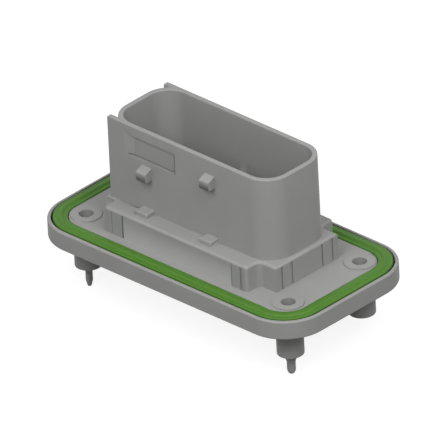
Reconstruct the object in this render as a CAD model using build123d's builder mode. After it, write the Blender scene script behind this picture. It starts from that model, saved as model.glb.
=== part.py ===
from build123d import *

import os

# Lengths are in millimetres. X runs along the flange, and Z = 0 is the plane of the four
# screw pads, where the flange meets the wall that it is screwed to.

# Flange
flange_length = 84.2
flange_width = 44.4
flange_thickness = 4.8
flange_corner = 11.0
flange_rounding = 0.4

# Screw places on the flange, each with a raised pad above and a leg below
screw_spacing_x = 65.3
screw_spacing_y = 24.4
screw_hole_diameter = 3.6
screw_hole_depth = 9.0
pad_diameter = 7.6
pad_height = 0.3

# Groove for the seal, and the seal in it
lip_width = 1.1
groove_width = 4.0
groove_depth = 2.6
seal_side_gap = 0.2
seal_shoulder_rise = 0.2
seal_shoulder_rounding = 0.3
seal_bead_rise = 0.35
seal_bead_radius = 0.95

# Shroud, squared off at its left end by two fins
shroud_rise = 27.7
shroud_length = 52.5
shroud_width = 20.65
shroud_corner = 6.65
shroud_wall = 1.3
shroud_floor = 1.5
rim_rounding = 0.3
foot_rounding = 0.35
fin_inset = 0.25

# Plinth, a stepped block around the foot of the shroud, notched at its four corners
plinth_rise = 5.9
plinth_end_ledge = 1.15
plinth_end_side_ledge = 0.225
plinth_side_ledge = 3.575
plinth_notch_length = 5.6
plinth_corner = 0.8
plinth_notch_corner = 1.4
plinth_top_rounding = 0.7
plinth_foot_room = 0.05

# Narrow draw grooves down the plinth's walls
wall_groove_width = 0.55
wall_groove_depth = 0.6
wall_groove_drop = 0.6
long_wall_groove_x = 19.15
end_wall_groove_inner_y = 5.15
end_wall_groove_outer_y = 8.6

# Keying rib on the inside of the back wall
key_width = 2.0
key_depth = 1.2
key_top = 13.9

# Latch catches on both long walls, the left one lower than the right one
catch_width = 3.1
catch_depth = 2.15
catch_face = 2.2
catch_ramp = 0.9
catch_brow = 0.5
left_catch_x = -13.75
left_catch_z = 15.65
right_catch_x = 6.9
right_catch_z = 21.05
catch_pad_width = 3.8
catch_pad_reach = 2.8
catch_pad_height = 0.6

# Shallow marking recess on the front wall, left bare
recess_left = -20.6
recess_run_in = 3.0
recess_right = -4.4
recess_bottom = 19.9
recess_top = 25.5
recess_depth = 0.35

# Legs that stand on the board, and the two locating pins below the front ones
leg_diameter = 6.6
leg_length = 8.85
leg_rounding = 0.4
pin_length = 5.95
pin_root = 1.9
round_pin_diameter = 2.1
relieved_pin_diameter = 1.76
relieved_pin_across = 1.3
relieved_pin_tip = 0.94
relieved_pin_taper = 1.3

# Contacts, two rows of flat blades that turn into square tails below
contact_columns = 12
contact_pitch = 3.5
contact_row_spacing = 6.4
contact_thickness = 0.8
blade_width = 1.5
blade_tip = 11.8
blade_taper = 1.4
blade_tip_width = 0.7
anchor_width = 2.3
anchor_height = 3.2
tail_width = 0.8
tail_below_board = 3.0
tail_taper = 0.6
tail_tip_width = 0.4
tip_thickness = 0.4
tip_thinning = 0.6
contact_gap = 0.05

# Tail aligner, held on four headed studs
aligner_length = 51.0
aligner_width = 14.0
aligner_thickness = 2.0
aligner_corner = 1.5
aligner_above_board = 1.2
aligner_hole_gap = 0.12
aligner_lead_in = 0.35
stud_spacing_x = 45.6
stud_spacing_y = 8.0
post_diameter = 3.0
stud_diameter = 1.8
stud_gap = 0.1
stud_head_diameter = 2.7
stud_head_height = 0.6

# Pockets that keep the plinth's long walls even, open below
pocket_count = 4
pocket_pitch = 10.0
pocket_length = 8.4
pocket_width = 1.8
pocket_y = 12.2
pocket_roof = 1.8

# Levels
deck_z = -pad_height
flange_bottom_z = deck_z - flange_thickness
leg_bottom_z = flange_bottom_z - leg_length
pin_top_z = leg_bottom_z + leg_rounding
pin_tip_z = leg_bottom_z - pin_length
groove_floor_z = deck_z - groove_depth
anchor_top_z = flange_bottom_z + anchor_height
aligner_bottom_z = leg_bottom_z + aligner_above_board
aligner_top_z = aligner_bottom_z + aligner_thickness

screw_places = GridLocations(screw_spacing_x, screw_spacing_y, 2, 2)
stud_places = GridLocations(stud_spacing_x, stud_spacing_y, 2, 2)
contact_places = GridLocations(contact_pitch, contact_row_spacing, contact_columns, 2)


with BuildPart() as leg:
    leg_radius = leg_diameter / 2
    leg_top_z = flange_bottom_z + flange_rounding
    with BuildSketch(Plane.XZ) as leg_half:
        with Locations((leg_radius / 2, (leg_top_z + leg_bottom_z) / 2)):
            Rectangle(leg_radius, leg_top_z - leg_bottom_z)
        fillet(leg_half.vertices().group_by(Axis.Y)[0].sort_by(Axis.X)[-1], leg_rounding)
    revolve(axis=Axis.Z)

with BuildPart() as round_pin:
    round_pin_radius = round_pin_diameter / 2
    with BuildSketch(Plane.XZ):
        with BuildLine():
            root = RadiusArc(
                (round_pin_radius + pin_root, leg_bottom_z),
                (round_pin_radius, leg_bottom_z - pin_root),
                -pin_root,
            )
            side = Line(root @ 1, (round_pin_radius, pin_tip_z + round_pin_radius))
            nose = RadiusArc(side @ 1, (0, pin_tip_z), round_pin_radius)
            Polyline(nose @ 1, (0, pin_top_z), (round_pin_radius + pin_root, pin_top_z), root @ 0)
        make_face()
    revolve(axis=Axis.Z)

with BuildPart() as relieved_pin:
    relieved_pin_radius = relieved_pin_diameter / 2
    with BuildSketch(Plane.XZ):
        with BuildLine():
            root = RadiusArc(
                (relieved_pin_radius + pin_root, leg_bottom_z),
                (relieved_pin_radius, leg_bottom_z - pin_root),
                -pin_root,
            )
            Polyline(
                root @ 1,
                (relieved_pin_radius, pin_tip_z + relieved_pin_taper),
                (relieved_pin_tip / 2, pin_tip_z),
                (0, pin_tip_z),
                (0, pin_top_z),
                (relieved_pin_radius + pin_root, pin_top_z),
                root @ 0,
            )
        make_face()
    revolve(axis=Axis.Z)
    # Flats on its two X sides, below the root
    with BuildSketch(Plane.XY.offset(pin_tip_z)):
        Rectangle(2 * relieved_pin_diameter, 2 * relieved_pin_diameter)
        Rectangle(relieved_pin_across, 2 * relieved_pin_diameter, mode=Mode.SUBTRACT)
    extrude(amount=pin_length - pin_root, mode=Mode.SUBTRACT)


with BuildPart() as housing:
    # Flange plate with rounded outer edges
    with BuildSketch(Plane.XY.offset(flange_bottom_z)):
        RectangleRounded(flange_length, flange_width, flange_corner)
    extrude(amount=flange_thickness)
    fillet(housing.faces().sort_by(Axis.Z)[-1].edges(), flange_rounding)
    fillet(housing.faces().sort_by(Axis.Z)[0].edges(), flange_rounding)

    # Seal groove, an even band inside the lip
    with BuildSketch(Plane.XY.offset(groove_floor_z)):
        RectangleRounded(
            flange_length - 2 * lip_width, flange_width - 2 * lip_width, flange_corner - lip_width
        )
        deck_inset = lip_width + groove_width
        RectangleRounded(
            flange_length - 2 * deck_inset,
            flange_width - 2 * deck_inset,
            flange_corner - deck_inset,
            mode=Mode.SUBTRACT,
        )
    extrude(amount=groove_depth, mode=Mode.SUBTRACT)

    # Screw pads
    with BuildSketch(Plane.XY.offset(deck_z)):
        with screw_places:
            Circle(pad_diameter / 2)
    extrude(amount=pad_height)

    # Plinth
    plinth_length = shroud_length + 2 * plinth_end_ledge
    plinth_end_width = shroud_width + 2 * plinth_end_side_ledge
    plinth_width = shroud_width + 2 * plinth_side_ledge
    plinth_middle_length = plinth_length - 2 * plinth_notch_length
    with BuildSketch(Plane.XY.offset(deck_z)) as plinth_plan:
        Rectangle(plinth_middle_length, plinth_width)
        Rectangle(plinth_length, plinth_end_width)
        for outer_corners in plinth_plan.vertices().group_by(SortBy.DISTANCE)[1:]:
            fillet(outer_corners, plinth_corner)
        fillet(plinth_plan.vertices().group_by(SortBy.DISTANCE)[0], plinth_notch_corner)
    extrude(amount=plinth_rise - deck_z)
    fillet(housing.faces().sort_by(Axis.Z)[-1].edges(), plinth_top_rounding)

    # Shroud with the two fins that square off its left end
    with BuildSketch(Plane.XY.offset(deck_z)):
        RectangleRounded(shroud_length, shroud_width, shroud_corner)
        fin_end = shroud_length / 2 - fin_inset
        fin_length = shroud_corner - fin_inset
        fin_y = (shroud_width - shroud_wall) / 2
        with Locations((-fin_end + fin_length / 2, fin_y), (-fin_end + fin_length / 2, -fin_y)):
            Rectangle(fin_length, shroud_wall)
    extrude(amount=shroud_rise - deck_z)
    walls = housing.faces().filter_by_position(Axis.Z, plinth_rise, shroud_rise, inclusive=(False, False))
    foot_edges = walls.edges().filter_by_position(Axis.Z, plinth_rise, plinth_rise)
    fillet(foot_edges, min(foot_rounding, plinth_end_ledge - plinth_top_rounding - plinth_foot_room))

    # Cavity for the plug
    with BuildSketch(Plane.XY.offset(shroud_floor)):
        RectangleRounded(
            shroud_length - 2 * shroud_wall, shroud_width - 2 * shroud_wall, shroud_corner - shroud_wall
        )
    extrude(amount=shroud_rise - shroud_floor, mode=Mode.SUBTRACT)
    fillet(housing.faces().sort_by(Axis.Z)[-1].edges(), rim_rounding)

    # Keying rib
    with BuildSketch(Plane.XY.offset(shroud_floor)):
        with Locations((0, shroud_width / 2 - shroud_wall - key_depth / 2)):
            Rectangle(key_width, key_depth)
    extrude(amount=key_top - shroud_floor)

    # Latch catches on both walls, each with a flat catch face below and a ramp above
    wall_y = shroud_width / 2
    wall_middle_y = wall_y - shroud_wall / 2
    for catch_x, catch_z in ((left_catch_x, left_catch_z), (right_catch_x, right_catch_z)):
        catch_top_z = catch_z + catch_face + catch_ramp
        with BuildSketch(Plane.YZ.offset(catch_x - catch_width / 2)) as catch_side:
            with BuildLine():
                Polyline(
                    (wall_middle_y, catch_z),
                    (wall_y + catch_depth, catch_z),
                    (wall_y + catch_depth, catch_z + catch_face),
                    (wall_y, catch_top_z),
                    (wall_middle_y, catch_top_z),
                    close=True,
                )
            make_face()
            fillet(catch_side.vertices().group_by(Axis.X)[-1].sort_by(Axis.Y)[-1], catch_brow)
            mirror(about=Plane.YZ)
        extrude(amount=catch_width)

        # Low pad on the plinth's ledge, straight below the catch
        with BuildSketch(Plane.XY.offset(plinth_rise - catch_pad_height)):
            with GridLocations(0, 2 * wall_y + catch_pad_reach, 1, 2):
                with Locations((catch_x, 0)):
                    Rectangle(catch_pad_width, catch_pad_reach)
        extrude(amount=2 * catch_pad_height)

    # Marking recess, running out to nothing at its left
    with BuildSketch(Plane.XY.offset(recess_bottom)):
        with BuildLine():
            Polyline(
                (recess_left, -wall_y - recess_depth),
                (recess_left, -wall_y),
                (recess_left + recess_run_in, -wall_y + recess_depth),
                (recess_right, -wall_y + recess_depth),
                (recess_right, -wall_y - recess_depth),
                close=True,
            )
        make_face()
    extrude(amount=recess_top - recess_bottom, mode=Mode.SUBTRACT)

    # Draw grooves down the plinth's walls
    wall_groove_height = plinth_rise - wall_groove_drop - deck_z
    with BuildSketch(Plane.XY.offset(deck_z)):
        with GridLocations(2 * long_wall_groove_x, plinth_width, 2, 2):
            Rectangle(wall_groove_width, 2 * wall_groove_depth)
        with GridLocations(plinth_length, 2 * end_wall_groove_inner_y, 2, 2):
            Rectangle(2 * wall_groove_depth, wall_groove_width)
        with GridLocations(plinth_length, 2 * end_wall_groove_outer_y, 2, 2):
            Rectangle(2 * wall_groove_depth, wall_groove_width)
    extrude(amount=wall_groove_height, mode=Mode.SUBTRACT)

    # Four legs, and a locating pin under each front one
    with screw_places:
        add(leg.part)
    with Locations((screw_spacing_x / 2, -screw_spacing_y / 2)):
        add(round_pin.part)
    with Locations((-screw_spacing_x / 2, -screw_spacing_y / 2)):
        add(relieved_pin.part)

    # Blind screw holes down through the pads into the legs
    with Locations(Plane.XY):
        with screw_places:
            Hole(screw_hole_diameter / 2, depth=screw_hole_depth)

    # Posts and headed studs that carry the tail aligner
    with BuildSketch(Plane.XY.offset(flange_bottom_z)):
        with stud_places:
            Circle(post_diameter / 2)
    extrude(amount=aligner_top_z - flange_bottom_z)
    with BuildSketch(Plane.XY.offset(aligner_top_z)):
        with stud_places:
            Circle(stud_diameter / 2)
    extrude(amount=-aligner_thickness)
    with BuildSketch(Plane.XY.offset(aligner_bottom_z)):
        with stud_places:
            Circle(stud_head_diameter / 2)
    extrude(amount=-stud_head_height)

    # Slots for the contacts, narrow at the top and wide for the anchors below
    with BuildSketch(Plane.XY.offset(flange_bottom_z)):
        with contact_places:
            Rectangle(anchor_width + 2 * contact_gap, contact_thickness + 2 * contact_gap)
    extrude(amount=anchor_height, mode=Mode.SUBTRACT)
    with BuildSketch(Plane.XY.offset(anchor_top_z)):
        with contact_places:
            Rectangle(blade_width + 2 * contact_gap, contact_thickness + 2 * contact_gap)
    extrude(amount=shroud_floor - anchor_top_z, mode=Mode.SUBTRACT)

    # Pockets under the plinth's long walls
    with BuildSketch(Plane.XY.offset(flange_bottom_z)):
        with GridLocations(pocket_pitch, 2 * pocket_y, pocket_count, 2):
            Rectangle(pocket_length, pocket_width)
    extrude(amount=plinth_rise - pocket_roof - flange_bottom_z, mode=Mode.SUBTRACT)

os.makedirs("parts", exist_ok=True)
housing.part.label = "housing"
export_step(housing.part, "parts/housing.step")


with BuildPart() as seal:
    seal_inset = lip_width + groove_width / 2
    seal_x = flange_length / 2 - seal_inset
    seal_y = flange_width / 2 - seal_inset
    with BuildLine() as seal_path:
        FilletPolyline(
            (0, -seal_y),
            (seal_x, -seal_y),
            (seal_x, seal_y),
            (-seal_x, seal_y),
            (-seal_x, -seal_y),
            radius=(0, *[flange_corner - seal_inset] * 4),
            close=True,
        )
    # Section across the band: a flat foot, rounded shoulders and a round bead in the middle
    section_plane = Plane(origin=(0, -seal_y, groove_floor_z), x_dir=(0, 1, 0), z_dir=(1, 0, 0))
    with BuildSketch(section_plane) as seal_section:
        shoulder_height = groove_depth + seal_shoulder_rise
        with Locations((0, shoulder_height / 2)):
            Rectangle(groove_width - 2 * seal_side_gap, shoulder_height)
        fillet(seal_section.vertices().group_by(Axis.Y)[-1], seal_shoulder_rounding)
        with Locations((0, shoulder_height + seal_bead_rise - seal_bead_radius)):
            Circle(seal_bead_radius)
    sweep(path=seal_path.line)

seal.part.label = "gasket"
export_step(seal.part, "parts/gasket.step")


with BuildPart() as aligner:
    with BuildSketch(Plane.XY.offset(aligner_bottom_z)):
        RectangleRounded(aligner_length, aligner_width, aligner_corner)
        with stud_places:
            Circle(stud_diameter / 2 + stud_gap, mode=Mode.SUBTRACT)
        with contact_places:
            Rectangle(
                tail_width + 2 * aligner_hole_gap,
                contact_thickness + 2 * aligner_hole_gap,
                mode=Mode.SUBTRACT,
            )
    extrude(amount=aligner_thickness)

    # Lead-ins round the tail holes, wide at the top where the tails come in
    with BuildSketch(Plane.XY.offset(aligner_top_z)):
        with contact_places:
            Rectangle(
                tail_width + 2 * (aligner_hole_gap + aligner_lead_in),
                contact_thickness + 2 * (aligner_hole_gap + aligner_lead_in),
            )
    extrude(amount=-aligner_lead_in, taper=45, mode=Mode.SUBTRACT)

aligner.part.label = "tail_aligner"
export_step(aligner.part, "parts/tail_aligner.step")


with BuildPart() as contact:
    tail_tip_z = leg_bottom_z - tail_below_board
    with BuildSketch(Plane.XZ.offset(-contact_thickness / 2)):
        with BuildLine():
            Polyline(
                (0, tail_tip_z),
                (tail_tip_width / 2, tail_tip_z),
                (tail_width / 2, tail_tip_z + tail_taper),
                (tail_width / 2, flange_bottom_z),
                (anchor_width / 2, flange_bottom_z),
                (anchor_width / 2, anchor_top_z),
                (blade_width / 2, anchor_top_z),
                (blade_width / 2, blade_tip - blade_taper),
                (blade_tip_width / 2, blade_tip),
                (0, blade_tip),
                close=True,
            )
        make_face()
        mirror(about=Plane.YZ)
    extrude(amount=contact_thickness)
    # Seen from the side, both tips thin down front and back as well
    with BuildSketch(Plane.YZ):
        with BuildLine():
            Polyline(
                (0, tail_tip_z),
                (tip_thickness / 2, tail_tip_z),
                (contact_thickness / 2, tail_tip_z + tip_thinning),
                (contact_thickness / 2, blade_tip - tip_thinning),
                (tip_thickness / 2, blade_tip),
                (0, blade_tip),
                close=True,
            )
        make_face()
        mirror(about=Plane.YZ)
    extrude(amount=anchor_width, both=True, mode=Mode.INTERSECT)

for number, place in enumerate(contact_places, start=1):
    placed_contact = place * contact.part
    placed_contact.label = f"contact_{number:02d}"
    export_step(placed_contact, f"parts/{placed_contact.label}.step")
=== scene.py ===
import math

import bmesh
import bpy
from mathutils import Matrix, Vector


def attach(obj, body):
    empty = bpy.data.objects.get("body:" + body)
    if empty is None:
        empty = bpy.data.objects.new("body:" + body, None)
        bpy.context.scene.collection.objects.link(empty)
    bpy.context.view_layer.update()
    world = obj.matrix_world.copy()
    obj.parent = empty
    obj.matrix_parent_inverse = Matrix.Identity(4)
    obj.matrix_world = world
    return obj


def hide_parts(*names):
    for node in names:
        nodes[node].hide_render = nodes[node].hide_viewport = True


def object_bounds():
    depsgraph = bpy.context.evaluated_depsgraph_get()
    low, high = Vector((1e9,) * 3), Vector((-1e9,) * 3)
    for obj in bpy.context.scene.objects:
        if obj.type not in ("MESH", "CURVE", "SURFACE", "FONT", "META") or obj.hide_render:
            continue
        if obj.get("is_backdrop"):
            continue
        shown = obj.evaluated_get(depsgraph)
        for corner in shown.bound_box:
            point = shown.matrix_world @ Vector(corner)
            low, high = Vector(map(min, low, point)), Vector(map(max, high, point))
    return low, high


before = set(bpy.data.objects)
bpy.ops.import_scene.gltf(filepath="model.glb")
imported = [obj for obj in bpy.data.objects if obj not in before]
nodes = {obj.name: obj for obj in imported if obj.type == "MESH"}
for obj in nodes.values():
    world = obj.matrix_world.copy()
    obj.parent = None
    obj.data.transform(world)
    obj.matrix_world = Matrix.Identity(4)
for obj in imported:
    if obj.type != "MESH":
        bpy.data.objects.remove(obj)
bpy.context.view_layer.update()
mm = 0.001
print("frame loaded:", len(nodes), "nodes")


def directionTo(azimuth, elevation):
    turn, rise = math.radians(azimuth), math.radians(elevation)
    return Vector((math.sin(turn) * math.cos(rise), -math.cos(turn) * math.cos(rise), math.sin(rise)))


# Camera, without perspective, as the picture was drawn
cameraSetup = {
    "azimuth": 44.84,
    "elevation": 30.0,
    "roll": -2.85,
    "distance": 400 * mm,
    "nearest": 10 * mm,
    "farthest": 2000 * mm,
    "pictureWidth": 104.12 * mm,
    "flangeMiddle": (0, 0, -0.3 * mm),
    "flangeRightOfMiddle": 0.217 * mm,  # where the flange's middle lies in the picture
    "flangeBelowMiddle": 3.845 * mm,
}


def makeCamera(setup):
    azimuth, roll = math.radians(setup["azimuth"]), math.radians(setup["roll"])
    back = directionTo(setup["azimuth"], setup["elevation"])
    level = Vector((math.cos(azimuth), math.sin(azimuth), 0))
    upright = back.cross(level)
    right = level * math.cos(roll) + upright * math.sin(roll)
    up = upright * math.cos(roll) - level * math.sin(roll)
    target = Vector(setup["flangeMiddle"])
    target -= right * setup["flangeRightOfMiddle"]
    target += up * setup["flangeBelowMiddle"]
    data = bpy.data.cameras.new("camera")
    data.type = "ORTHO"
    data.ortho_scale = setup["pictureWidth"]
    data.clip_start = setup["nearest"]
    data.clip_end = setup["farthest"]
    camera = bpy.data.objects.new("camera", data)
    bpy.context.scene.collection.objects.link(camera)
    place = Matrix((right, up, back)).transposed().to_4x4()
    place.translation = target + back * setup["distance"]
    camera.matrix_world = place
    bpy.context.scene.camera = camera


makeCamera(cameraSetup)
print("camera placed")


# Housing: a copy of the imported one, worked up in millimetres. Plinth, pads, rim and key are
# moved, the feet are redrawn, and a bare recess and fine seams are cut into it.
slack = 0.05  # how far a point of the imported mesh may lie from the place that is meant

plinthShape = {
    "deck": -0.3,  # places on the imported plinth
    "ledge": 5.9,
    "rounding": 0.75,
    "longWall": 13.9,
    "endWall": 27.4,
    "endRoom": 1.0,
    "notchNear": 20.9,
    "notchFar": 23.25,
    "notchInner": 10.3,
    "pocketOuter": 13.16,
    "longWallReach": 0.95,  # and how far they move
    "ledgeLift": 0.5,
    "leftNotchShift": -2.3,
    "rightNotchShift": 0.2,
}
grooveShape = {
    "longWallX": 19.15,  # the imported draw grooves
    "endWallY": (5.15, 8.6),
    "reach": 0.3,
    "depth": 0.6,
    "left": {"middleX": -18.15, "widthShare": 0.75, "filling": 0.2},  # and the new ones
    "right": {"middleX": 20.05, "widthShare": 1.1, "filling": 0.33},
}
seamShape = {"placesX": (-21.6, 17.0), "width": 0.22, "depth": 0.14, "top": 5.85, "cutReach": 1.0}
shroudShape = {"wallOuter": 10.325, "rim": 27.7, "rimRounding": 0.35, "rimLift": 0.4, "footRounding": 0.4}
keyShape = {"halfWidth": 1.0, "face": 7.8, "top": 13.9, "lift": 2.2}
padShape = {"top": 6.5, "outer": 13.125, "lift": 1.1, "rounding": 0.3, "roundingSteps": 4}
flangeShape = {
    "halfLength": 42.1,
    "halfWidth": 22.2,
    "corner": 11.0,
    "lip": 1.1,
    "lipTop": 0,
    "grooveFloor": -2.9,
    "gapWidening": 0.3,  # between the seal and the lip
}
recessShape = {
    "left": -20.6,
    "slopeEnd": -17.95,
    "right": -4.4,
    "bottom": 19.9,
    "top": 25.5,
    "leftTop": 26.75,
    "depth": 0.6,
    "grooveDepth": 1.05,  # of the narrow grooves along its right and bottom edges
    "rightGrooveWidth": 0.85,
    "bottomGrooveWidth": 0.32,
    "bottomGrooveLeft": -19.9,
}
footShape = {
    "cutLevel": -13.5,
    "bottom": -13.72,
    "radius": 3.3,
    "rounding": 0.15,
    "roundingTurns": (30, 60, 90),
    "tipLevel": -19.4,
    "placeRoom": 1.0,
    "roundPin": {
        "place": (32.65, -12.2),
        "root": 1.9,
        "rootLength": 2.3,
        "radius": 1.06,
        "nose": 1.35,
        "noseSteps": 8,
    },
    "flatPin": {
        "place": (-32.65, -12.2),
        "root": 1.5,
        "rootLength": 1.2,
        "radius": 0.86,
        "across": 0.65,
        "taper": 1.45,
        "tip": 0.47,
    },
}
meshCare = {"weldDistance": 0.001 * mm, "flatAngle": 0.1, "sliverWidth": 0.0005, "sharpAngle": 28}


def near(value, target):
    return abs(value - target) < slack


def sideOf(value):
    return math.copysign(1, value)


def shiftNotches(shape, plinth):
    for vert in shape.verts:
        place = vert.co
        inLevel = plinth["deck"] - slack < place.z < plinth["ledge"] + plinth["rounding"]
        inNotch = plinth["notchNear"] < abs(place.x) < plinth["notchFar"]
        if inLevel and inNotch and plinth["notchInner"] < abs(place.y) < plinth["longWall"] + slack:
            place.x += plinth["leftNotchShift"] if place.x < 0 else plinth["rightNotchShift"]


def moveGrooves(shape, groove, plinth):
    floorY = plinth["longWall"] - groove["depth"]
    floorX = plinth["endWall"] - groove["depth"]
    for vert in shape.verts:
        place = vert.co
        if not plinth["deck"] - slack < place.z < plinth["ledge"] - slack:
            continue
        moved = groove["left"] if place.x < 0 else groove["right"]
        offsetX = place.x - sideOf(place.x) * groove["longWallX"]
        if abs(offsetX) < groove["reach"] and abs(place.y) > floorY - slack:
            place.x = moved["middleX"] + offsetX * moved["widthShare"]
            if near(abs(place.y), floorY):
                place.y += sideOf(place.y) * moved["filling"]
        for grooveY in groove["endWallY"]:
            offsetY = place.y - sideOf(place.y) * grooveY
            if abs(offsetY) < groove["reach"] and abs(place.x) > floorX - slack:
                place.y -= offsetY * (1 - moved["widthShare"])
                if near(abs(place.x), floorX):
                    place.x += sideOf(place.x) * moved["filling"]


def flattenFoot(shape, plinth, shroud):
    for vert in shape.verts:
        height = vert.co.z - plinth["ledge"]
        if 0 < height < shroud["footRounding"] and abs(vert.co.y) < plinth["pocketOuter"]:
            vert.co.z = plinth["ledge"]


def raiseTops(shape, shroud, key, pad):
    for vert in shape.verts:
        place = vert.co
        if near(place.z, pad["top"]):
            place.z += pad["lift"]
        elif place.z > shroud["rim"] - shroud["rimRounding"]:
            place.z += shroud["rimLift"]
        elif near(place.z, key["top"]) and abs(place.x) < key["halfWidth"] + slack:
            if place.y > key["face"] - slack:
                place.z += key["lift"]


def drawPlinthOut(shape, plinth, pad):
    for vert in shape.verts:
        place = vert.co
        if not plinth["deck"] - slack < place.z < plinth["ledge"] + plinth["rounding"]:
            continue
        beyondPocket = plinth["pocketOuter"] < abs(place.y) or abs(place.x) > plinth["notchNear"] - slack
        atLongWall = pad["outer"] - slack < abs(place.y) < plinth["longWall"] + slack
        if beyondPocket and atLongWall and abs(place.x) < plinth["endWall"] - plinth["endRoom"]:
            place.y += sideOf(place.y) * plinth["longWallReach"]
        if plinth["ledge"] - plinth["rounding"] < place.z < pad["top"] - slack:
            place.z += plinth["ledgeLift"]


def openSealGap(shape, flange):
    radius = flange["corner"] - flange["lip"]
    coreX, coreY = flange["halfLength"] - flange["corner"], flange["halfWidth"] - flange["corner"]
    for vert in shape.verts:
        if not flange["grooveFloor"] - slack < vert.co.z < flange["lipTop"] + slack:
            continue
        inner = Vector((max(-coreX, min(coreX, vert.co.x)), max(-coreY, min(coreY, vert.co.y))))
        outward = vert.co.to_2d() - inner
        if near(outward.length, radius):
            outward *= flange["gapWidening"] / radius
            vert.co.x += outward.x
            vert.co.y += outward.y


# Rings down a leg and its pin: each has a radius, a level and the limit of its flats
def footRings(foot, place):
    bottom, radius, rounding = foot["bottom"], foot["radius"], foot["rounding"]
    rings = [(radius, bottom + rounding, radius)]
    for degrees in foot["roundingTurns"]:
        turn = math.radians(degrees)
        edge = radius - rounding * (1 - math.cos(turn))
        rings.append((edge, bottom + rounding * (1 - math.sin(turn)), radius))
    pin = foot["roundPin"]
    if (place - Vector(pin["place"])).length < foot["placeRoom"]:
        noseTop = foot["tipLevel"] + pin["nose"]
        rings.append((pin["root"], bottom, radius))
        rings.append((pin["radius"], bottom - pin["rootLength"], radius))
        for step in range(pin["noseSteps"]):
            turn = math.pi / 2 * step / pin["noseSteps"]
            rings.append((pin["radius"] * math.cos(turn), noseTop - pin["nose"] * math.sin(turn), radius))
    pin = foot["flatPin"]
    if (place - Vector(pin["place"])).length < foot["placeRoom"]:
        rootEnd = bottom - pin["rootLength"]
        rings.append((pin["root"], bottom, radius))
        rings.append((pin["radius"], rootEnd, radius))
        rings.append((pin["radius"], rootEnd - slack, pin["across"]))
        rings.append((pin["radius"], foot["tipLevel"] + pin["taper"], pin["across"]))
        rings.append((pin["tip"], foot["tipLevel"], pin["across"]))
    return rings


def redrawFeet(shape, foot):
    everything = shape.verts[:] + shape.edges[:] + shape.faces[:]
    cut = bmesh.ops.bisect_plane(
        shape, geom=everything, plane_co=(0, 0, foot["cutLevel"]), plane_no=(0, 0, -1), clear_outer=True
    )
    rim = [item for item in cut["geom_cut"] if isinstance(item, bmesh.types.BMEdge)]
    discs = bmesh.ops.holes_fill(shape, edges=rim, sides=0)["faces"]
    for disc in discs:
        middle = disc.calc_center_median().to_2d()
        ring = list(disc.verts)
        turns = [math.atan2(vert.co.y - middle.y, vert.co.x - middle.x) for vert in ring]
        shape.faces.remove(disc)
        for radius, level, halfAcross in footRings(foot, middle):
            lower = []
            for turn in turns:
                across = max(-halfAcross, min(halfAcross, radius * math.cos(turn)))
                along = radius * math.sin(turn)
                lower.append(shape.verts.new((middle.x + across, middle.y + along, level)))
            for i, vert in enumerate(ring):
                j = (i + 1) % len(ring)
                shape.faces.new((vert, ring[j], lower[j], lower[i]))
            ring = lower
        shape.faces.new(ring)
    print("feet redrawn:", len(discs))


def roundPads(shape, shroud, pad):
    top = pad["top"] + pad["lift"]
    edges = []
    for edge in shape.edges:
        ends = [vert.co for vert in edge.verts]
        outside = any(abs(end.y) > shroud["wallOuter"] + slack for end in ends)
        onTop = all(near(end.z, top) for end in ends) and outside
        atFront = all(near(abs(end.y), pad["outer"]) for end in ends)
        upright = any(near(end.z, top) for end in ends) and atFront
        if onTop or upright:
            edges.append(edge)
    steps = pad["roundingSteps"]
    bmesh.ops.bevel(shape, geom=edges, offset=pad["rounding"], segments=steps, profile=0.5, affect="EDGES")


def addPrism(shape, floorPoints, roofPoints):
    floor = [shape.verts.new(point) for point in floorPoints]
    roof = [shape.verts.new(point) for point in roofPoints]
    shape.faces.new(floor)
    for i, vert in enumerate(floor):
        j = (i + 1) % len(floor)
        shape.faces.new((vert, floor[j], roof[j], roof[i]))
    return roof


def addBlock(shape, low, high):
    corners = [(low[0], low[1]), (high[0], low[1]), (high[0], high[1]), (low[0], high[1])]
    floorPoints = [(x, y, low[2]) for x, y in corners]
    roofPoints = [(x, y, high[2]) for x, y in corners]
    shape.faces.new(addPrism(shape, floorPoints, roofPoints))


def makeRecessGroove(recess, shroud, left, top):
    shape = bmesh.new()
    front, back = -shroud["wallOuter"] - recess["depth"], -shroud["wallOuter"] + recess["grooveDepth"]
    addBlock(shape, (left, front, recess["bottom"]), (recess["right"], back, top))
    bmesh.ops.recalc_face_normals(shape, faces=shape.faces)
    return shape


def makeRecessAndSeams(recess, seam, plinth, shroud):
    shape = bmesh.new()
    wall, depth = -shroud["wallOuter"], recess["depth"]
    outline = [
        (recess["left"], wall - depth, recess["leftTop"]),
        (recess["slopeEnd"], wall - depth, recess["top"]),
        (recess["right"], wall - depth, recess["top"]),
        (recess["right"], wall + depth, recess["top"]),
        (recess["slopeEnd"], wall + depth, recess["top"]),
        (recess["left"], wall, recess["leftTop"]),
    ]
    roof = addPrism(shape, [(x, y, recess["bottom"]) for x, y, z in outline], outline)
    shape.faces.new((roof[0], roof[1], roof[4], roof[5]))
    shape.faces.new(roof[1:5])
    for side in (-1, 1):
        inner = side * (plinth["longWall"] + plinth["longWallReach"] - seam["depth"])
        outer = inner + side * seam["cutReach"]
        for seamX in seam["placesX"]:
            left, right = seamX - seam["width"] / 2, seamX + seam["width"] / 2
            addBlock(shape, (left, inner, plinth["deck"]), (right, outer, seam["top"]))
    bmesh.ops.recalc_face_normals(shape, faces=shape.faces)
    return shape


def makeObject(name, shape):
    mesh = bpy.data.meshes.new(name)
    shape.to_mesh(mesh)
    shape.free()
    made = bpy.data.objects.new(name, mesh)
    bpy.context.scene.collection.objects.link(made)
    return made


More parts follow.
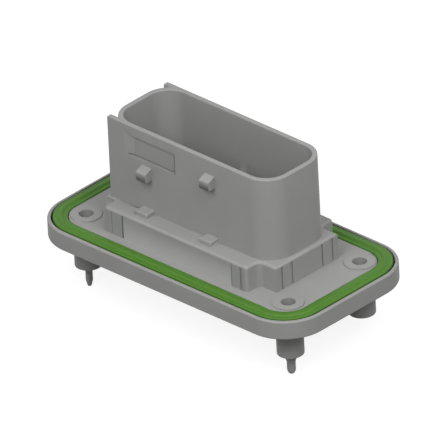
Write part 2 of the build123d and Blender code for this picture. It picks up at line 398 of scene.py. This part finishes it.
def cutAway(body, cutter):
    modifier = body.modifiers.new("cut", "BOOLEAN")
    modifier.object = cutter
    modifier.operation = "DIFFERENCE"
    modifier.solver = "EXACT"
    bpy.context.view_layer.update()
    result = bpy.data.meshes.new_from_object(body.evaluated_get(bpy.context.evaluated_depsgraph_get()))
    body.modifiers.clear()
    body.data = result
    bpy.data.objects.remove(cutter)


# The crease where the recess's sloping floor meets its flat one
def sharpenCrease(mesh, recess, shroud):
    floorY = -shroud["wallOuter"] + recess["depth"]
    for edge in mesh.edges:
        ends = [mesh.vertices[index].co / mm for index in edge.vertices]
        if all(near(end.x, recess["slopeEnd"]) and near(end.y, floorY) for end in ends):
            edge.use_edge_sharp = True


def makeHousingShell():
    shape = bmesh.new()
    shape.from_mesh(nodes["housing"].data)
    bmesh.ops.remove_doubles(shape, verts=shape.verts, dist=meshCare["weldDistance"])
    bmesh.ops.scale(shape, vec=(1 / mm, 1 / mm, 1 / mm), verts=shape.verts)
    flatAngle = math.radians(meshCare["flatAngle"])
    bmesh.ops.dissolve_limit(shape, angle_limit=flatAngle, verts=shape.verts, edges=shape.edges)
    shiftNotches(shape, plinthShape)
    moveGrooves(shape, grooveShape, plinthShape)
    flattenFoot(shape, plinthShape, shroudShape)
    raiseTops(shape, shroudShape, keyShape, padShape)
    drawPlinthOut(shape, plinthShape, padShape)
    openSealGap(shape, flangeShape)
    bmesh.ops.dissolve_degenerate(shape, dist=meshCare["sliverWidth"], edges=shape.edges)
    redrawFeet(shape, footShape)
    roundPads(shape, shroudShape, padShape)
    bmesh.ops.recalc_face_normals(shape, faces=shape.faces)
    shell = makeObject("housingShell", shape)
    recess = recessShape
    rightGroove = (recess["right"] - recess["rightGrooveWidth"], recess["top"])
    bottomGroove = (recess["bottomGrooveLeft"], recess["bottom"] + recess["bottomGrooveWidth"])
    for left, top in (rightGroove, bottomGroove):
        cutAway(shell, makeObject("cutter", makeRecessGroove(recess, shroudShape, left, top)))
    cutAway(shell, makeObject("cutter", makeRecessAndSeams(recess, seamShape, plinthShape, shroudShape)))
    shell.data.transform(Matrix.Scale(mm, 4))
    shell.data.shade_smooth()
    shell.data.set_sharp_from_angle(angle=math.radians(meshCare["sharpAngle"]))
    sharpenCrease(shell.data, recess, shroudShape)
    evenNormals = shell.modifiers.new("evenNormals", "WEIGHTED_NORMAL")
    evenNormals.keep_sharp = True
    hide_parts("housing")
    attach(shell, "root")
    return shell


housingShell = makeHousingShell()
print("housing shell made:", len(housingShell.data.polygons), "faces")


# Node helpers, shared by all the materials
def newMaterial(name):
    material = bpy.data.materials.new(name)
    material.use_nodes = True
    tree = material.node_tree
    return material, tree, tree.nodes["Principled BSDF"]


def addNode(tree, kind, **settings):
    node = tree.nodes.new(kind)
    for key, value in settings.items():
        setattr(node, key, value)
    return node


def addNoise(tree, coordinates, grainSize, detail=2.0, roughness=0.5):
    noise = addNode(tree, "ShaderNodeTexNoise")
    noise.inputs["Scale"].default_value = 1 / grainSize
    noise.inputs["Detail"].default_value = detail
    noise.inputs["Roughness"].default_value = roughness
    tree.links.new(coordinates, noise.inputs["Vector"])
    return noise.outputs["Fac"]


def addRange(tree, factor, low, high):
    mapRange = addNode(tree, "ShaderNodeMapRange")
    mapRange.inputs["To Min"].default_value = low
    mapRange.inputs["To Max"].default_value = high
    tree.links.new(factor, mapRange.inputs["Value"])
    return mapRange.outputs["Result"]


def addTint(tree, factor, darkTint, lightTint):
    mix = addNode(tree, "ShaderNodeMix", data_type="RGBA")
    mix.inputs["A"].default_value = (*darkTint, 1)
    mix.inputs["B"].default_value = (*lightTint, 1)
    tree.links.new(factor, mix.inputs["Factor"])
    return mix.outputs["Result"]


def addBump(tree, height, depth, normal=None):
    bump = addNode(tree, "ShaderNodeBump")
    bump.inputs["Strength"].default_value = 1.0
    bump.inputs["Distance"].default_value = depth
    tree.links.new(height, bump.inputs["Height"])
    if normal:
        tree.links.new(normal, bump.inputs["Normal"])
    return bump.outputs["Normal"]


# Housing plastic: matt mid grey, with the fine grain of an eroded mould
housingLook = {
    "darkTint": (0.243, 0.243, 0.237),
    "lightTint": (0.275, 0.275, 0.268),
    "cloudSize": 9 * mm,
    "grainSize": 0.16 * mm,
    "grainDepth": 0.004 * mm,
    "roughnessLow": 0.5,
    "roughnessHigh": 0.62,
    "specular": 0.32,
}


def makeHousingPlastic(look):
    material, tree, shader = newMaterial("housingPlastic")
    place = addNode(tree, "ShaderNodeTexCoord").outputs["Object"]
    cloud = addNoise(tree, place, look["cloudSize"], detail=3)
    grain = addNoise(tree, place, look["grainSize"], detail=2)
    tree.links.new(addTint(tree, cloud, look["darkTint"], look["lightTint"]), shader.inputs["Base Color"])
    roughness = addRange(tree, grain, look["roughnessLow"], look["roughnessHigh"])
    tree.links.new(roughness, shader.inputs["Roughness"])
    tree.links.new(addBump(tree, grain, look["grainDepth"]), shader.inputs["Normal"])
    shader.inputs["Specular IOR Level"].default_value = look["specular"]
    return material


# Seal rubber: green silicone, a little satin, with a faint bloom
sealLook = {
    "darkTint": (0.050, 0.146, 0.014),
    "lightTint": (0.070, 0.180, 0.025),
    "bloomSize": 5 * mm,
    "grainSize": 0.08 * mm,
    "grainDepth": 0.002 * mm,
    "roughnessLow": 0.40,
    "roughnessHigh": 0.55,
    "specular": 0.18,
}


def makeSealRubber(look):
    material, tree, shader = newMaterial("sealRubber")
    place = addNode(tree, "ShaderNodeTexCoord").outputs["Object"]
    bloom = addNoise(tree, place, look["bloomSize"], detail=4)
    grain = addNoise(tree, place, look["grainSize"])
    tree.links.new(addTint(tree, bloom, look["darkTint"], look["lightTint"]), shader.inputs["Base Color"])
    roughness = addRange(tree, bloom, look["roughnessLow"], look["roughnessHigh"])
    tree.links.new(roughness, shader.inputs["Roughness"])
    tree.links.new(addBump(tree, grain, look["grainDepth"]), shader.inputs["Normal"])
    shader.inputs["Specular IOR Level"].default_value = look["specular"]
    return material


# Contact tin: bright plating over stamped strip, with fine lines along the blade
contactLook = {
    "darkTint": (0.60, 0.59, 0.56),
    "lightTint": (0.76, 0.75, 0.72),
    "patchSize": 1.2 * mm,
    "lineWidth": 0.05 * mm,
    "lineStretch": 30,
    "lineDepth": 0.0015 * mm,
    "roughnessLow": 0.22,
    "roughnessHigh": 0.38,
}


def makeContactTin(look):
    material, tree, shader = newMaterial("contactTin")
    place = addNode(tree, "ShaderNodeTexCoord").outputs["Object"]
    stretch = addNode(tree, "ShaderNodeMapping")
    stretch.inputs["Scale"].default_value = (1, 1, 1 / look["lineStretch"])
    tree.links.new(place, stretch.inputs["Vector"])
    patch = addNoise(tree, place, look["patchSize"], detail=3)
    lines = addNoise(tree, stretch.outputs["Vector"], look["lineWidth"])
    tree.links.new(addTint(tree, patch, look["darkTint"], look["lightTint"]), shader.inputs["Base Color"])
    roughness = addRange(tree, patch, look["roughnessLow"], look["roughnessHigh"])
    tree.links.new(roughness, shader.inputs["Roughness"])
    tree.links.new(addBump(tree, lines, look["lineDepth"]), shader.inputs["Normal"])
    shader.inputs["Metallic"].default_value = 1.0
    return material


# Aligner plastic: black, with faint glass-fibre mottling
alignerLook = {
    "darkTint": (0.012, 0.012, 0.013),
    "lightTint": (0.030, 0.030, 0.031),
    "fibreSize": 0.4 * mm,
    "grainDepth": 0.004 * mm,
    "roughnessLow": 0.42,
    "roughnessHigh": 0.6,
}


def makeAlignerPlastic(look):
    material, tree, shader = newMaterial("alignerPlastic")
    place = addNode(tree, "ShaderNodeTexCoord").outputs["Object"]
    fibre = addNoise(tree, place, look["fibreSize"], detail=5, roughness=0.7)
    tree.links.new(addTint(tree, fibre, look["darkTint"], look["lightTint"]), shader.inputs["Base Color"])
    roughness = addRange(tree, fibre, look["roughnessLow"], look["roughnessHigh"])
    tree.links.new(roughness, shader.inputs["Roughness"])
    tree.links.new(addBump(tree, fibre, look["grainDepth"]), shader.inputs["Normal"])
    return material


def dress(piece, material):
    piece.data.materials.clear()
    piece.data.materials.append(material)


dress(housingShell, makeHousingPlastic(housingLook))
dress(nodes["gasket"], makeSealRubber(sealLook))
dress(nodes["tail_aligner"], makeAlignerPlastic(alignerLook))
contactTin = makeContactTin(contactLook)
for node in nodes:
    if node.startswith("contact"):
        dress(nodes[node], contactTin)
print("materials made")


# 1 for the rays that see the backdrop: straight from the camera, in gloss or through glass
def addSeenDirectly(tree):
    path = addNode(tree, "ShaderNodeLightPath")
    withGloss = addNode(tree, "ShaderNodeMath", operation="MAXIMUM")
    tree.links.new(path.outputs["Is Camera Ray"], withGloss.inputs[0])
    tree.links.new(path.outputs["Is Glossy Ray"], withGloss.inputs[1])
    withClear = addNode(tree, "ShaderNodeMath", operation="MAXIMUM")
    tree.links.new(withGloss.outputs["Value"], withClear.inputs[0])
    tree.links.new(path.outputs["Is Transmission Ray"], withClear.inputs[1])
    return withClear.outputs["Value"]


# Floor, at the tips of the locating pins
floorSetup = {
    "size": 3000 * mm,
    "colour": (0.9, 0.9, 0.9),
    "bounceColour": (0.08, 0.08, 0.08),  # what the floor sends back to the object
    "glow": 1.16,  # seen by the camera alone
    "shadowShare": 0.25,  # how much of the shadow the camera sees
}


def makeFloor(setup, height):
    half = setup["size"] / 2
    mesh = bpy.data.meshes.new("floor")
    corners = [(-half, -half, height), (half, -half, height), (half, half, height), (-half, half, height)]
    mesh.from_pydata(corners, [], [(0, 1, 2, 3)])
    floor = bpy.data.objects.new("floor", mesh)
    bpy.context.scene.collection.objects.link(floor)
    floor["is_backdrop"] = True
    material, tree, shader = newMaterial("floorPaper")
    tree.nodes.remove(shader)
    seen = addNode(tree, "ShaderNodeBsdfDiffuse")
    seen.inputs["Color"].default_value = (*setup["colour"], 1)
    glow = addNode(tree, "ShaderNodeEmission")
    glow.inputs["Strength"].default_value = setup["glow"]
    mirrored = addNode(tree, "ShaderNodeEmission")
    bounce = addNode(tree, "ShaderNodeBsdfDiffuse")
    bounce.inputs["Color"].default_value = (*setup["bounceColour"], 1)
    paper = addNode(tree, "ShaderNodeMixShader")
    paper.inputs["Fac"].default_value = setup["shadowShare"]
    tree.links.new(glow.outputs["Emission"], paper.inputs[1])
    tree.links.new(seen.outputs["BSDF"], paper.inputs[2])
    unlit = addNode(tree, "ShaderNodeMixShader")
    tree.links.new(addSeenDirectly(tree), unlit.inputs["Fac"])
    tree.links.new(bounce.outputs["BSDF"], unlit.inputs[1])
    tree.links.new(mirrored.outputs["Emission"], unlit.inputs[2])
    choose = addNode(tree, "ShaderNodeMixShader")
    tree.links.new(addNode(tree, "ShaderNodeLightPath").outputs["Is Camera Ray"], choose.inputs["Fac"])
    tree.links.new(unlit.outputs["Shader"], choose.inputs[1])
    tree.links.new(paper.outputs["Shader"], choose.inputs[2])
    tree.links.new(choose.outputs["Shader"], tree.nodes["Material Output"].inputs["Surface"])
    mesh.materials.append(material)


makeFloor(floorSetup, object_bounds()[0].z)

# Soft studio light: an even sky and two large lamps
skySetup = {"horizon": 0.6, "zenith": 0.22}
lampSetups = {
    "keyLamp": {"azimuth": 8, "elevation": 48, "distance": 450 * mm, "size": 280 * mm, "power": 1.25},
    "fillLamp": {"azimuth": 80, "elevation": 48, "distance": 450 * mm, "size": 280 * mm, "power": 1.2},
}


def makeSky(setup):
    world = bpy.data.worlds.new("sky")
    bpy.context.scene.world = world
    world.use_nodes = True
    tree = world.node_tree
    light = tree.nodes["Background"]
    upward = addNode(tree, "ShaderNodeSeparateXYZ")
    tree.links.new(addNode(tree, "ShaderNodeTexCoord").outputs["Generated"], upward.inputs["Vector"])
    strength = addRange(tree, upward.outputs["Z"], setup["horizon"], setup["zenith"])
    tree.links.new(strength, light.inputs["Strength"])
    light.inputs["Color"].default_value = (1, 1, 1, 1)
    backdrop = addNode(tree, "ShaderNodeBackground")
    backdrop.inputs["Color"].default_value = (1, 1, 1, 1)
    choose = addNode(tree, "ShaderNodeMixShader")
    tree.links.new(addSeenDirectly(tree), choose.inputs["Fac"])
    tree.links.new(light.outputs["Background"], choose.inputs[1])
    tree.links.new(backdrop.outputs["Background"], choose.inputs[2])
    tree.links.new(choose.outputs["Shader"], tree.nodes["World Output"].inputs["Surface"])


def makeLamp(name, setup):
    back = directionTo(setup["azimuth"], setup["elevation"])
    data = bpy.data.lights.new(name, "AREA")
    data.shape = "DISK"
    data.size = setup["size"]
    data.energy = setup["power"]
    lamp = bpy.data.objects.new(name, data)
    lamp.location = back * setup["distance"]
    lamp.rotation_euler = (-back).to_track_quat("-Z", "Y").to_euler()
    bpy.context.scene.collection.objects.link(lamp)


makeSky(skySetup)
for name, setup in lampSetups.items():
    makeLamp(name, setup)
bpy.context.scene.view_settings.view_transform = "Standard"
print("floor, sky and lamps made")
